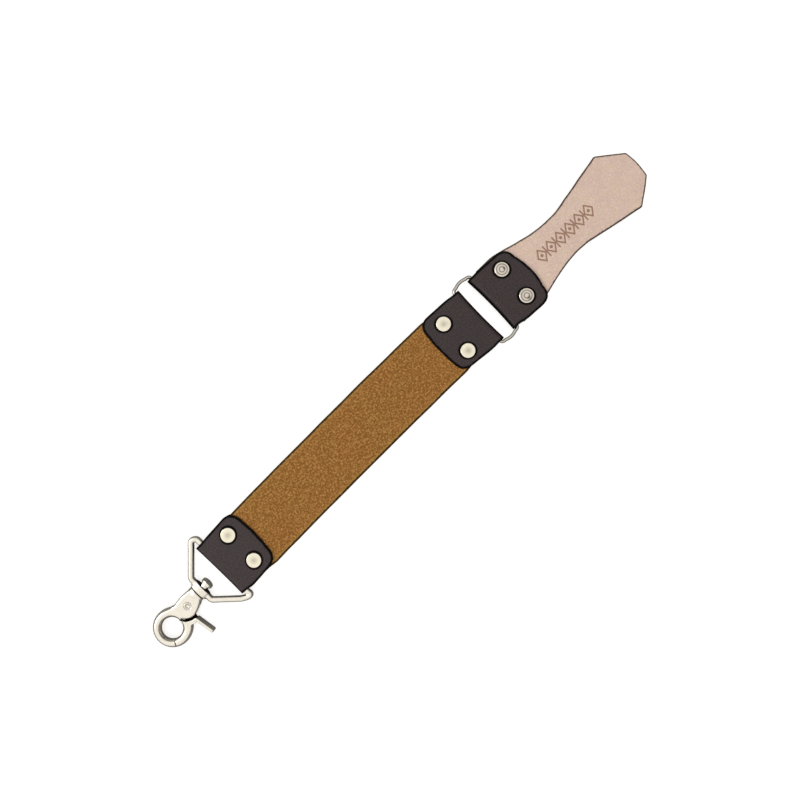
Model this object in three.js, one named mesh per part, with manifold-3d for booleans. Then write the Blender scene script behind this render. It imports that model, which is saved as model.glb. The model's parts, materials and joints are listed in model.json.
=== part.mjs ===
// A hanging leather strop, in millimetres, lying on its back with +Z up.
// +X runs from the snap hook to the end of the handle, and the origin is the bottom centre of the whole.
// From the hook end: trigger snap, swivel, wire bail, lower tab, two strap layers, middle tab, wire ring,
// handle tab, handle. Every tab is folded round its wire and clamps the leather with two cap rivets.

import * as THREE from 'three';
import { mergeVertices } from 'three/addons/utils/BufferGeometryUtils.js';
import Module from 'manifold-3d';

const wasm = await Module();
wasm.setup();

// ---- Driving dimensions -------------------------------------------------------------------------

// Thicknesses across the stack
const LAYER_THICK = 2.8; // one strap layer
const LAYER_GAP = 0.04; // between faces that lie on each other
const TAB_THICK = 1.6;
const CAP_PROUD = 1.4; // a rivet cap above the tab
const FOLD_INSIDE = LAYER_THICK + LAYER_GAP * 2; // inside radius of a tab's fold
const FOLD_OUTSIDE = FOLD_INSIDE + TAB_THICK;
const MID_Z = FOLD_OUTSIDE + LAYER_GAP + CAP_PROUD; // the middle plane of the whole strop

// Where the wires lie along the strop
const HALF_LENGTH = 280.3;
const BAIL_BAR_X = -198.6;
const RING_LOW_X = 96.6; // the ring's bar in the strap's tab
const RING_HIGH_X = 115.6; // the ring's bar in the handle's tab

// Strap
const STRAP_WIDTH = 55.2;
const STRAP_START_X = -191;
const STRAP_END_X = 88;
const STRAP_START_Y = -1.9; // the strap lies a little askew between its tabs
const STRAP_END_Y = 1.7;
const PRESSED_BY = 0.04; // thinner under a tab
const PRESSED_PAST_TAB = 1; // the pressed end runs this far out of the tab

// Tabs: the lengths run from the wire's axis to the far end, and skew is the drift to +Y along the tab
const LOWER_TAB = { wireX: BAIL_BAR_X, way: 1, length: 38.8, width: 55.8, corner: 10, bow: 0.8, skew: 0.03 };
const MIDDLE_TAB = { wireX: RING_LOW_X, way: -1, length: 41.8, width: 56.4, corner: 12.5, bow: 0.8, skew: 0.03 };
const HANDLE_TAB = { wireX: RING_HIGH_X, way: 1, length: 39.9, width: 56.4, corner: 8.5, bow: 2.6, skew: -0.03 };

// Rivets
const RIVET_HALF_SPACING = 14.85;
const RIVET_PAIRS = [
  { x: -176.1, y: 0, lean: -0.45 }, // lean: how much further along its rivet on the +Y side sits
  { x: 71.7, y: 0.6, lean: 0.4 },
  { x: 137.7, y: -0.7, lean: 0.2 },
];
const CAP_RADIUS = 6.2;
const CAP_EDGE = 0.45; // height of the cap's rim
const POST_RADIUS = 1.5;
const NECK_INSIDE = 1.6; // the cap's hollow neck, which grips the post
const NECK_OUTSIDE = 2.1;
const NECK_DEPTH = 5;
const RIVET_HOLE = 2.25;

// Handle, as half widths along its length
const HANDLE_THICK = 5.4;
const HANDLE_Y = -0.9; // its middle line
const TANG_X = 122;
const TANG_HALF = 28.8;
const SHOULDER_X = 136;
const WAIST_X = 195.3;
const WAIST_HALF = 18.1;
const FLARE_X = 222;
const FLARE_HALF = 21.9;
const WIDE_X = 258.3;
const WIDE_HALF = 28.8;
const TIP_X = 279.2;
const TIP_HALF = 12.9;
// How far each curve of the edge runs on straight at its ends
const SHOULDER_PULL = 12;
const WAIST_PULL_BACK = 27;
const WAIST_PULL_AHEAD = 10;
const FLARE_PULL = 9;

// Wire ring between the two tabs
const RING_WIRE = 1.45; // radius
const RING_STRAIGHT = 27; // the bars run this far either side of the middle
const RING_CORNER = 3.2;
const RING_CORNER_Y = 29.8;
const RING_PEAK_Y = 30.9;

// Bail: a triangular loop with a collar for the swivel
const BAIL_WIRE = 2.65;
const BAIL_FRONT_X = -224.9;
const SWIVEL_Y = -1.5; // the swivel's axis is a little off the strap's middle
const BAIL_KNEE_Y = 12.2; // either side of the swivel's axis
const BAIL_PEAK_Y = 37.6; // where the arm's line meets the bar's line, before the bend
const BAIL_KNEE_R = 4;
const BAIL_BEND_R = 3.4;
const COLLAR_X = [-228.6, -222.2];
const COLLAR_HALF_Y = 8.6;
const COLLAR_HALF_Z = 4.8;
const COLLAR_BORE = 3.05;

// Swivel stud
const STUD_RADIUS = 2.9;
const STUD_HEAD_RADIUS = 5.1;
const STUD_INNER_X = -233.4;
const STUD_HEAD_X = [-219.3, -216.4];

// Snap hook
const HOOK_THICK = 8;
const HOOK_ROUND = 2.4; // rounding of the cast edges
const RING_CENTRE = [-263.7, -6.3];
const HOOK_OUTER = 16.6;
const EYE_CENTRE = [-264.5, -6.3];
const EYE_RADIUS = 9.1;
const SPLIT_DEGREES = 237; // where the gate meets the nose, about the ring's centre
const CHEEK_CENTRE = [-243.2, -0.9]; // the cheeks' round edge beside the trigger
const CHEEK_RADIUS = 11;
const NECK = [-249.2, 3.5]; // the outline's waist between ring and body, inside the rounding
const NECK_LEAD = [4.3, 0.7]; // how the curve from the ring comes into the neck
const NECK_LEAVES_RING = 62; // degrees
const BACK_HIGH = 5.6;
const BODY_END_Y = [-5.2, 4.4];
const BELLY = [-238, -8.3];
const CHEEK_ENDS = 201; // degrees about the cheeks' centre, and then about the eye's
const EYE_STARTS = 11;
const FLANGE_X = [-233.6, -229.2];
const FLANGE_HALF = [7.2, 4.6];
const STUD_BORE = 3;

// Trigger, its pin and its spring
const PIVOT = [-241.7, -2.2];
const PIN_RADIUS = 1.6;
const PIN_BORE = 1.7;
const PIN_HEAD_RADIUS = 3.1;
const PIN_HEAD_SEAT = 0.7;
const SLOT_HALF = 2.4; // half the slot's width between the cheeks
const HUB_RADIUS = 4.8;
const HUB_Z = [-2.15, 0]; // from the middle plane
const GATE_ROUND = 2.2;
const GATE_THICK = 7.4;
const GATE_GAP_DEGREES = 1.6; // the slit between gate and nose
const YOKE_INNER = 12.8; // the yoke joins gate, web and lever round the cheeks' edge
const YOKE_OUTER = 16.4;
const YOKE_THICK = 6.6;
const LEVER_ROOT = [-244.2, -14.4];
const LEVER_TIP = [-241.9, -31.5];
const LEVER_THICK = 2.5;
const LEVER_WIDE = 9;
const SPRING_RADIUS = 2.5;
const SPRING_WIRE = 0.27;
const SPRING_START = 235; // degrees, where the leg on the yoke leaves the coil
const SPRING_SWEEP = 980; // degrees of coil from one leg to the other
const SPRING_LOW_Z = 0.4;
const SPRING_RISE = 1.7;
const SPRING_YOKE_LEG = 8;
const SPRING_SPINE_LEG = 1.6;
const SPRING_LEG_SHARE = 0.12; // of the wire's length, in each leg

const ROUND = 16; // sides of a turned piece
const degrees = THREE.MathUtils.degToRad;

// ---- Solids -------------------------------------------------------------------------------------

function solid(geometry) {
  const bare = geometry.clone();
  for (const name of ['normal', 'uv']) bare.deleteAttribute(name);
  const merged = mergeVertices(bare, 1e-4);
  const mesh = new wasm.Mesh({
    numProp: 3,
    vertProperties: new Float32Array(merged.attributes.position.array),
    triVerts: new Uint32Array(merged.index.array),
  });
  return new wasm.Manifold(mesh);
}

function geometryOf(manifold) {
  const mesh = manifold.getMesh();
  const geometry = new THREE.BufferGeometry();
  geometry.setAttribute('position', new THREE.BufferAttribute(new Float32Array(mesh.vertProperties), 3));
  geometry.setIndex(new THREE.BufferAttribute(new Uint32Array(mesh.triVerts), 1));
  geometry.computeVertexNormals();
  return geometry;
}

// A flat outline given thickness, centred on the middle plane unless low is given.
function slab(shape, thick, low = -thick / 2, curveSegments = 10) {
  const geometry = new THREE.ExtrudeGeometry(shape, { depth: thick, bevelEnabled: false, curveSegments });
  return geometry.translate(0, 0, low);
}

// A flat outline given thickness and round edges: the edges stand out of the outline by round.
function roundedSlab(shape, thick, round, curveSegments = 10) {
  const depth = thick - 2 * round;
  const geometry = new THREE.ExtrudeGeometry(shape, {
    depth,
    bevelSize: round,
    bevelThickness: round,
    bevelSegments: 2,
    curveSegments,
  });
  return geometry.translate(0, 0, -depth / 2);
}

// A profile of [radius, height] points turned about Z.
function turned(profile, sides = ROUND) {
  const points = profile.map(([radius, height]) => new THREE.Vector2(radius, height));
  return new THREE.LatheGeometry(points, sides).rotateX(Math.PI / 2);
}

function disc(x, y, radius) {
  const shape = new THREE.Shape();
  shape.absarc(x, y, radius, 0, 2 * Math.PI);
  return shape;
}

// A round rod along Z through (x, y), long enough to cut through anything here.
function drill(x, y, radius) {
  return solid(new THREE.CylinderGeometry(radius, radius, 40, ROUND).rotateX(Math.PI / 2).translate(x, y, 0));
}

// A piece of a ring between two radii and two angles.
function sector([x, y], inner, outer, from, to) {
  const shape = new THREE.Shape();
  shape.absarc(x, y, outer, from, to, false);
  shape.absarc(x, y, inner, to, from, true);
  return shape;
}

function polygon(points) {
  return new THREE.Shape(points.map(([x, y]) => new THREE.Vector2(x, y)));
}

// ---- Leather ------------------------------------------------------------------------------------

function rivetPlaces() {
  return RIVET_PAIRS.flatMap(({ x, y, lean }) => [
    [x + lean, y + RIVET_HALF_SPACING],
    [x - lean, y - RIVET_HALF_SPACING],
  ]);
}

// Cuts the rivet holes that fall inside the piece.
function withRivetHoles(manifold) {
  return rivetPlaces().reduce((left, [x, y]) => left.subtract(drill(x, y, RIVET_HOLE)), manifold);
}

// One strap layer, lying on the middle plane. The tabs press its ends a little thinner, so the free face
// between them stands proud.
function strapLayer() {
  const half = STRAP_WIDTH / 2;
  const low = LAYER_GAP / 2;
  const outline = polygon([
    [STRAP_START_X, STRAP_START_Y - half],
    [STRAP_END_X, STRAP_END_Y - half],
    [STRAP_END_X, STRAP_END_Y + half],
    [STRAP_START_X, STRAP_START_Y + half],
  ]);
  const pressedEnds = [
    [STRAP_START_X - 1, LOWER_TAB.wireX + LOWER_TAB.length + PRESSED_PAST_TAB],
    [MIDDLE_TAB.wireX - MIDDLE_TAB.length - PRESSED_PAST_TAB, STRAP_END_X + 1],
  ];
  return pressedEnds.reduce((left, [from, to]) => {
    const pressed = new THREE.BoxGeometry(to - from, STRAP_WIDTH + 10, 2 * PRESSED_BY);
    return left.subtract(solid(pressed.translate((from + to) / 2, 0, low + LAYER_THICK)));
  }, withRivetHoles(solid(slab(outline, LAYER_THICK, low))));
}

// The outline of a leaf seen from above, with the wire's axis at x = 0 and the far end at +X.
function leafOutline({ length, width, corner, bow, skew, way }) {
  const half = width / 2;
  const at = (x, y) => [x, y + way * skew * Math.max(x, 0)];
  const shape = new THREE.Shape();
  shape.moveTo(...at(-2 * FOLD_OUTSIDE, -half));
  shape.lineTo(...at(0, -half));
  shape.lineTo(...at(length - corner - bow, -half));
  shape.quadraticCurveTo(...at(length - bow, -half), ...at(length - bow, corner - half));
  shape.quadraticCurveTo(...at(length + bow, 0), ...at(length - bow, half - corner));
  shape.quadraticCurveTo(...at(length - bow, half), ...at(length - corner - bow, half));
  shape.lineTo(...at(0, half));
  shape.lineTo(...at(-2 * FOLD_OUTSIDE, half));
  return shape;
}

// The section along the strop: two leaves joined by a half round fold about the wire.
function foldSection({ length }) {
  const shape = new THREE.Shape();
  shape.moveTo(length + 5, FOLD_OUTSIDE);
  shape.absarc(0, 0, FOLD_OUTSIDE, degrees(90), degrees(270), false);
  shape.lineTo(length + 5, -FOLD_OUTSIDE);
  shape.lineTo(length + 5, -FOLD_INSIDE);
  shape.absarc(0, 0, FOLD_INSIDE, degrees(270), degrees(90), true);
  shape.lineTo(length + 5, FOLD_INSIDE);
  return shape;
}

function foldedTab(tab) {
  const fold = slab(foldSection(tab), tab.width + 10, undefined, 14).rotateX(Math.PI / 2);
  const leaf = slab(leafOutline(tab), 30, undefined, 6);
  const turn = tab.way > 0 ? 0 : Math.PI;
  const placed = [fold, leaf].map((geometry) => solid(geometry.rotateZ(turn).translate(tab.wireX, 0, 0)));
  return geometryOf(withRivetHoles(placed[0].intersect(placed[1])));
}

// One long edge of the handle, from the tang to the middle of the tip.
function handleEdge() {
  const slope = (WIDE_HALF - FLARE_HALF) / (WIDE_X - FLARE_X);
  const edge = new THREE.Path();
  edge.moveTo(TANG_X, TANG_HALF);
  edge.lineTo(SHOULDER_X, TANG_HALF);
  edge.bezierCurveTo(
    SHOULDER_X + SHOULDER_PULL, TANG_HALF,
    WAIST_X - WAIST_PULL_BACK, WAIST_HALF,
    WAIST_X, WAIST_HALF,
  );
  edge.bezierCurveTo(
    WAIST_X + WAIST_PULL_AHEAD, WAIST_HALF,
    FLARE_X - FLARE_PULL, FLARE_HALF - FLARE_PULL * slope,
    FLARE_X, FLARE_HALF,
  );
  edge.lineTo(WIDE_X, WIDE_HALF);
  edge.lineTo(TIP_X, TIP_HALF);
  edge.quadraticCurveTo(HALF_LENGTH, TIP_HALF / 2, HALF_LENGTH, 0);
  return edge.getPoints(10);
}

function handle() {
  const edge = handleEdge();
  const otherEdge = edge.slice(0, -1).map((point) => new THREE.Vector2(point.x, -point.y));
  const outline = new THREE.Shape([...otherEdge, ...edge.reverse()]);
  return geometryOf(withRivetHoles(solid(slab(outline, HANDLE_THICK).translate(0, HANDLE_Y, 0))));
}

// ---- Rivets -------------------------------------------------------------------------------------

function rivetCap() {
  const neckEnd = -NECK_DEPTH;
  return turned([
    [0, CAP_PROUD - 0.12],
    [CAP_RADIUS * 0.25, CAP_PROUD],
    [CAP_RADIUS * 0.6, CAP_PROUD * 0.93],
    [CAP_RADIUS * 0.88, CAP_EDGE + 0.45],
    [CAP_RADIUS, CAP_EDGE],
    [CAP_RADIUS, 0],
    [NECK_OUTSIDE, 0],
    [NECK_OUTSIDE, neckEnd],
    [NECK_INSIDE, neckEnd],
    [NECK_INSIDE, -0.1],
    [0, -0.1],
  ].reverse());
}

// The post stands on a cap of its own, which lies against the back of the tab.
function rivetPost() {
  const top = 2 * FOLD_OUTSIDE - 0.4;
  return turned([
    [0, -CAP_PROUD],
    [CAP_RADIUS * 0.6, -CAP_PROUD * 0.93],
    [CAP_RADIUS * 0.88, -CAP_EDGE - 0.45],
    [CAP_RADIUS, -CAP_EDGE],
    [CAP_RADIUS, 0],
    [POST_RADIUS, 0],
    [POST_RADIUS, top],
    [0, top],
  ]);
}

// ---- Wire hardware ------------------------------------------------------------------------------

// Moves a closed loop of points, listed anticlockwise, outwards by a distance.
function offsetLoop(points, distance) {
  return points.map((point, index) => {
    const before = points[(index + points.length - 1) % points.length];
    const after = points[(index + 1) % points.length];
    const along = new THREE.Vector2().subVectors(after, before).normalize();
    return new THREE.Vector2(point.x + along.y * distance, point.y - along.x * distance);
  });
}

// Round wire bent along a closed flat loop.
function wireLoop(path, radius, curveSegments) {
  const half = 0.1;
  const points = path.getPoints(curveSegments);
  if (points[0].distanceTo(points[points.length - 1]) < 1e-6) points.pop();
  const shape = new THREE.Shape(offsetLoop(points, half));
  shape.holes.push(new THREE.Path(offsetLoop(points, -half)));
  return roundedSlab(shape, 2 * radius, radius - half);
}

function connectingRing() {
  const middle = (RING_LOW_X + RING_HIGH_X) / 2;
  const half = (RING_HIGH_X - RING_LOW_X) / 2;
  const inset = half - RING_CORNER;
  const peak = 2 * RING_PEAK_Y - RING_CORNER_Y;
  const path = new THREE.Path();
  path.moveTo(half, -RING_STRAIGHT);
  path.lineTo(half, RING_STRAIGHT);
  path.quadraticCurveTo(half, RING_CORNER_Y, inset, RING_CORNER_Y);
  path.quadraticCurveTo(0, peak, -inset, RING_CORNER_Y);
  path.quadraticCurveTo(-half, RING_CORNER_Y, -half, RING_STRAIGHT);
  path.lineTo(-half, -RING_STRAIGHT);
  path.quadraticCurveTo(-half, -RING_CORNER_Y, -inset, -RING_CORNER_Y);
  path.quadraticCurveTo(0, -peak, inset, -RING_CORNER_Y);
  path.quadraticCurveTo(half, -RING_CORNER_Y, half, -RING_STRAIGHT);
  return wireLoop(path, RING_WIRE, 5).translate(middle, 0, 0);
}

// A closed polygon with round corners, listed anticlockwise as [x, y, radius].
function roundedPolygon(corners) {
  const path = new THREE.Path();
  const count = corners.length;
  const at = (index) => new THREE.Vector2(...corners[(index + count) % count].slice(0, 2));
  corners.forEach(([x, y, radius], index) => {
    const corner = new THREE.Vector2(x, y);
    const back = at(index - 1).sub(corner).normalize();
    const ahead = at(index + 1).sub(corner).normalize();
    const opening = Math.acos(back.dot(ahead));
    const reach = radius / Math.tan(opening / 2);
    const start = corner.clone().addScaledVector(back, reach);
    const inward = back.clone().add(ahead).normalize();
    const centre = corner.clone().addScaledVector(inward, radius / Math.sin(opening / 2));
    const end = corner.clone().addScaledVector(ahead, reach);
    const from = Math.atan2(start.y - centre.y, start.x - centre.x);
    const to = Math.atan2(end.y - centre.y, end.x - centre.x);
    if (index === 0) path.moveTo(start.x, start.y);
    path.absarc(centre.x, centre.y, radius, from, to, false);
  });
  path.closePath();
  return path;
}

// A flat oval plate across the strop, between two places along it.
function ovalPlate([from, to], halfY, halfZ) {
  const shape = new THREE.Shape();
  shape.absellipse(0, 0, halfY, halfZ, 0, 2 * Math.PI, false, 0);
  return slab(shape, to - from, 0, 12).rotateX(Math.PI / 2).rotateZ(Math.PI / 2).translate(from, 0, 0);
}

// A rod along X on the swivel's axis.
function axialRod(radius, from, to) {
  const rod = new THREE.CylinderGeometry(radius, radius, to - from, ROUND);
  return rod.rotateZ(Math.PI / 2).translate((from + to) / 2, 0, 0);
}

function bail() {
  const loop = roundedPolygon([
    [BAIL_BAR_X, -BAIL_PEAK_Y, BAIL_BEND_R],
    [BAIL_BAR_X, BAIL_PEAK_Y, BAIL_BEND_R],
    [BAIL_FRONT_X, SWIVEL_Y + BAIL_KNEE_Y, BAIL_KNEE_R],
    [BAIL_FRONT_X, SWIVEL_Y - BAIL_KNEE_Y, BAIL_KNEE_R],
  ]);
  const collar = solid(ovalPlate(COLLAR_X, COLLAR_HALF_Y, COLLAR_HALF_Z).translate(0, SWIVEL_Y, 0));
  const bore = solid(axialRod(COLLAR_BORE, COLLAR_X[0] - 3, COLLAR_X[1] + 3).translate(0, SWIVEL_Y, 0));
  return geometryOf(solid(wireLoop(loop, BAIL_WIRE, 4)).add(collar).subtract(bore));
}

function swivelStud() {
  const [headStart, headEnd] = STUD_HEAD_X;
  const edge = 0.5;
  return turned([
    [0, STUD_INNER_X],
    [STUD_RADIUS, STUD_INNER_X],
    [STUD_RADIUS, headStart],
    [STUD_HEAD_RADIUS - edge, headStart],
    [STUD_HEAD_RADIUS, headStart + edge],
    [STUD_HEAD_RADIUS, headEnd - edge],
    [STUD_HEAD_RADIUS - edge, headEnd],
    [0, headEnd],
  ]).rotateY(Math.PI / 2);
}

// ---- Snap hook, drawn about the swivel's axis ---------------------------------------------------

// Cuts away what lies between two angles about the hook's ring.
function ringWedge(from, to) {
  return solid(slab(sector(RING_CENTRE, 3, 30, degrees(from), degrees(to)), 30));
}

// The cast outline, drawn inside the silhouette by the rounding of its edges.
function hookOutline() {
  const outer = HOOK_OUTER - HOOK_ROUND;
  const inner = EYE_RADIUS + HOOK_ROUND;
  const cheek = CHEEK_RADIUS - HOOK_ROUND;
  const noseEnd = degrees(SPLIT_DEGREES + 12); // past the split, where the wedge cuts it off square
  const bodyEnd = FLANGE_X[0] + 0.5;
  const shape = new THREE.Shape();
  shape.absarc(...RING_CENTRE, outer, noseEnd, degrees(NECK_LEAVES_RING), true);
  shape.quadraticCurveTo(NECK[0] - NECK_LEAD[0], NECK[1] + NECK_LEAD[1], ...NECK);
  shape.quadraticCurveTo((NECK[0] + bodyEnd) / 2, BACK_HIGH, bodyEnd, BODY_END_Y[1]);
  shape.lineTo(bodyEnd, BODY_END_Y[0]);
  shape.quadraticCurveTo(...BELLY, CHEEK_CENTRE[0], CHEEK_CENTRE[1] - cheek);
  shape.absarc(...CHEEK_CENTRE, cheek, degrees(270), degrees(CHEEK_ENDS), true);
  shape.absarc(...EYE_CENTRE, inner, degrees(EYE_STARTS), noseEnd, false);
  return shape;
}

// The room between the cheeks in which the trigger's hub turns.
function triggerSlot() {
  const hubRoom = solid(slab(disc(...PIVOT, HUB_RADIUS + 0.6), 2 * SLOT_HALF));
  const sweep = sector(PIVOT, 0.5, 20, degrees(186), degrees(318));
  return hubRoom.add(solid(slab(sweep, 2 * SLOT_HALF)));
}

function pinSeat(side) {
  const middle = side * (HOOK_THICK / 2 - PIN_HEAD_SEAT + 2);
  return solid(slab(disc(...PIVOT, PIN_HEAD_RADIUS + 0.1), 4)).translate([0, 0, middle]);
}

function hookBody() {
  const cast = solid(roundedSlab(hookOutline(), HOOK_THICK, HOOK_ROUND, 10));
  const flange = solid(ovalPlate(FLANGE_X, ...FLANGE_HALF));
  const bore = solid(axialRod(STUD_BORE, STUD_INNER_X - 0.3, FLANGE_X[1] + 2));
  return geometryOf(
    cast
      .subtract(ringWedge(SPLIT_DEGREES, SPLIT_DEGREES + 50))
      .add(flange)
      .subtract(bore)
      .subtract(triggerSlot())
      .subtract(drill(...PIVOT, PIN_BORE))
      .subtract(pinSeat(1))
      .subtract(pinSeat(-1)),
  );
}

// The gate carries on the hook's ring from the split to the yoke beside the cheeks.
function gateOutline() {
  const gateEnd = degrees(SPLIT_DEGREES - 12);
  const shape = new THREE.Shape();
  shape.absarc(...RING_CENTRE, HOOK_OUTER - GATE_ROUND, gateEnd, degrees(322), false);
  shape.absarc(...EYE_CENTRE, EYE_RADIUS + GATE_ROUND, degrees(348), gateEnd, true);
  return shape;
}

function lever() {
  const root = new THREE.Vector2(...LEVER_ROOT);
  const tip = new THREE.Vector2(...LEVER_TIP);
  const along = tip.clone().sub(root);
  const blade = new THREE.BoxGeometry(along.length(), LEVER_THICK, LEVER_WIDE);
  const middle = root.clone().add(tip).multiplyScalar(0.5);
  return solid(blade.rotateZ(along.angle()).translate(middle.x, middle.y, 0));
}

function trigger() {
  const [hubLow, hubHigh] = HUB_Z;
  const hubThick = hubHigh - hubLow;
  const gate = solid(roundedSlab(gateOutline(), GATE_THICK, GATE_ROUND, 12));
  const clearance = solid(slab(disc(...CHEEK_CENTRE, YOKE_INNER), 20, undefined, 24));
  const eye = solid(slab(disc(...EYE_CENTRE, EYE_RADIUS), 20, undefined, 24));
  const yoke = sector(CHEEK_CENTRE, YOKE_INNER, YOKE_OUTER, degrees(200), degrees(267));
  const web = sector(PIVOT, 2.5, YOKE_INNER + 1, degrees(212), degrees(262));
  const hub = solid(slab(disc(...PIVOT, HUB_RADIUS), hubThick, hubLow));
  return geometryOf(
    gate
      .subtract(ringWedge(SPLIT_DEGREES - 50, SPLIT_DEGREES + GATE_GAP_DEGREES))
      .subtract(clearance)
      .add(solid(slab(yoke, YOKE_THICK)).subtract(eye))
      .add(lever())
      .add(solid(slab(web, hubThick, hubLow)))
      .add(hub)
      .subtract(drill(...PIVOT, PIN_BORE)),
  );
}

function triggerPin() {
  const half = HOOK_THICK / 2;
  const seat = half - PIN_HEAD_SEAT + LAYER_GAP;
  const dish = 0.35;
  return turned([
    [0, -half + dish],
    [PIN_HEAD_RADIUS * 0.5, -half],
    [PIN_HEAD_RADIUS, -half],
    [PIN_HEAD_RADIUS, -seat],
    [PIN_RADIUS, -seat],
    [PIN_RADIUS, seat],
    [PIN_HEAD_RADIUS, seat],
    [PIN_HEAD_RADIUS, half],
    [PIN_HEAD_RADIUS * 0.5, half],
    [0, half - dish],
  ]);
}

// A torsion spring round the pin: one leg bears on the trigger's yoke, the other inside the spine.
class SpringPath extends THREE.Curve {
  getPoint(share, target = new THREE.Vector3()) {
    const turn = THREE.MathUtils.clamp((share - SPRING_LEG_SHARE) / (1 - 2 * SPRING_LEG_SHARE), 0, 1);
    const angle = degrees(SPRING_START + turn * SPRING_SWEEP);
    const yokeLeg = Math.max(0, SPRING_LEG_SHARE - share) / SPRING_LEG_SHARE;
    const spineLeg = Math.max(0, share - 1 + SPRING_LEG_SHARE) / SPRING_LEG_SHARE;
    const reach = SPRING_RADIUS + yokeLeg * SPRING_YOKE_LEG + spineLeg * SPRING_SPINE_LEG;
    const height = SPRING_LOW_Z + SPRING_RISE * turn;
    return target.set(reach * Math.cos(angle), reach * Math.sin(angle), height);
  }
}

function triggerSpring() {
  const section = new THREE.Shape();
  section.absarc(0, 0, SPRING_WIRE, 0, 2 * Math.PI);
  return new THREE.ExtrudeGeometry(section, {
    extrudePath: new SpringPath(),
    steps: 72,
    curveSegments: 3,
    bevelEnabled: false,
  });
}

// ---- The assembly -------------------------------------------------------------------------------

const FINISHES = {
  suede: { color: 0x9b6c37, roughness: 0.95, metalness: 0 },
  smoothLeather: { color: 0x7a4f2c, roughness: 0.6, metalness: 0 },
  darkLeather: { color: 0x483e3e, roughness: 0.55, metalness: 0 },
  paleLeather: { color: 0xd4b8a8, roughness: 0.7, metalness: 0 },
  nickel: { color: 0xd9d5c8, roughness: 0.25, metalness: 1 },
  springSteel: { color: 0x8c8c8c, roughness: 0.35, metalness: 1 },
};

const strop = new THREE.Group();
const level = new THREE.Group(); // everything is drawn about the middle plane
level.position.z = MID_Z;
strop.add(level);

function place(name, geometry, finish, x = 0, y = 0, z = 0) {
  const mesh = new THREE.Mesh(geometry, new THREE.MeshStandardMaterial(FINISHES[finish]));
  mesh.name = name;
  mesh.position.set(x, y, z);
  level.add(mesh);
}

place('strap_front', geometryOf(strapLayer()), 'suede');
place('strap_back', geometryOf(strapLayer().mirror([0, 0, 1])), 'smoothLeather');
place('lower_tab', foldedTab(LOWER_TAB), 'darkLeather');
place('middle_tab', foldedTab(MIDDLE_TAB), 'darkLeather');
place('handle_tab', foldedTab(HANDLE_TAB), 'darkLeather');
place('handle', handle(), 'paleLeather');

rivetPlaces().forEach(([x, y], index) => {
  const seat = FOLD_OUTSIDE + LAYER_GAP;
  place(`rivet_cap_${index + 1}`, rivetCap(), 'nickel', x, y, seat);
  place(`rivet_post_${index + 1}`, rivetPost(), 'nickel', x, y, -seat);
});

place('connecting_ring', connectingRing(), 'nickel');
place('bail', bail(), 'nickel');
place('swivel_stud', swivelStud(), 'nickel', 0, SWIVEL_Y);
place('hook_body', hookBody(), 'nickel', 0, SWIVEL_Y);
place('trigger', trigger(), 'nickel', 0, SWIVEL_Y);
place('trigger_pin', triggerPin(), 'nickel', PIVOT[0], PIVOT[1] + SWIVEL_Y);
place('trigger_spring', triggerSpring(), 'springSteel', PIVOT[0], PIVOT[1] + SWIVEL_Y);

export default strop;
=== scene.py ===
"""The leather strop's looks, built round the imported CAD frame.

Shapes are drawn in millimetres about the strop's middle plane, as in the CAD, and become metres in
the one place where a mesh is made. +X runs from the snap hook to the end of the handle, +Z is up.
"""

import json
import math

import bmesh
import bpy
import numpy as np
from mathutils import Matrix, Vector, geometry, kdtree, noise


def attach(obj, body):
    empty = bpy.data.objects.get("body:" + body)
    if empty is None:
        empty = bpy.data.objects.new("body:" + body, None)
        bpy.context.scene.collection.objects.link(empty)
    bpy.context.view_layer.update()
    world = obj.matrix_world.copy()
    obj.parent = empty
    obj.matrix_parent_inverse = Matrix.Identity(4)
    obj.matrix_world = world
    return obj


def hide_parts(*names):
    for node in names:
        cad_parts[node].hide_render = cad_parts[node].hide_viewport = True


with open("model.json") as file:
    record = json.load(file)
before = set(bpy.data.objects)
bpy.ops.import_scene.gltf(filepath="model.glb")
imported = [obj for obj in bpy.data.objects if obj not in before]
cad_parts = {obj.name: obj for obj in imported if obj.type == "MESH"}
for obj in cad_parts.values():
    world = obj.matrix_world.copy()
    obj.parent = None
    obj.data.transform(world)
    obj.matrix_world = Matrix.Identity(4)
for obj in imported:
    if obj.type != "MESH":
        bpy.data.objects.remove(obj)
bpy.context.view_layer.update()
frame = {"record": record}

# ---- Dimensions, in millimetres ----
# They are the CAD's, except that the leaves of the tabs lie a little askew and are narrower at the
# fold, the ring's wire bends softer, and the lever and the split beside the gate are a little larger.

MM = 0.001
LAYER_THICK = 2.8
LAYER_GAP = 0.04
TAB_THICK = 1.6
CAP_PROUD = 1.4
FOLD_INSIDE = LAYER_THICK + LAYER_GAP * 2
FOLD_OUTSIDE = FOLD_INSIDE + TAB_THICK
MID_Z = FOLD_OUTSIDE + LAYER_GAP + CAP_PROUD

BAIL_BAR_X = -198.6
RING_LOW_X = 96.6
RING_HIGH_X = 115.6

STRAP_WIDTH = 55.2
STRAP_X = (-191, 88)
STRAP_Y = (-1.9, 1.7)

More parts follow.
